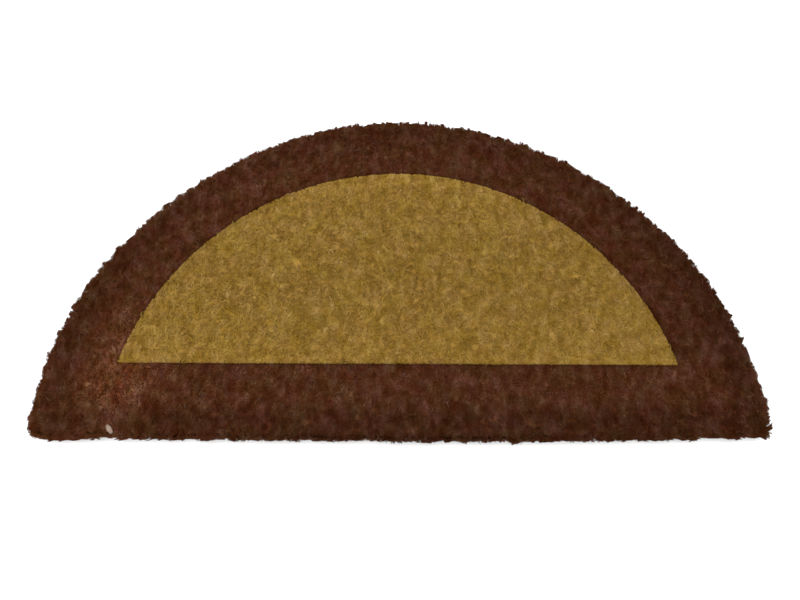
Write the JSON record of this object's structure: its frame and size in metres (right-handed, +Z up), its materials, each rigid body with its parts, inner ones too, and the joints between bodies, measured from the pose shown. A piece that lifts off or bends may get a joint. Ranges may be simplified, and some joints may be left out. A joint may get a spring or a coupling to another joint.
{
  "type": "doormat",
  "caption": "Half-round coir doormat: a dark brush-pile border round a natural half-moon panel, on a thin flexible backing.",
  "frame": {"origin": "middle of the mat's underside, on the floor", "axes": "+X along the straight edge, +Y from the straight edge towards the top of the arc, +Z up out of the pile"},
  "size_m": [0.7492, 0.378, 0.017],
  "materials": {
    "dark_coir": "matte brush pile of coarse brown-dyed coconut fibre",
    "natural_coir": "matte brush pile of coarse natural coconut fibre",
    "backing": "matte flexible moulded sheet"
  },
  "bodies": {
    "root": {"backing": "backing", "border_pile": "dark_coir", "centre_pile": "natural_coir"}
  },
  "joints": []
}
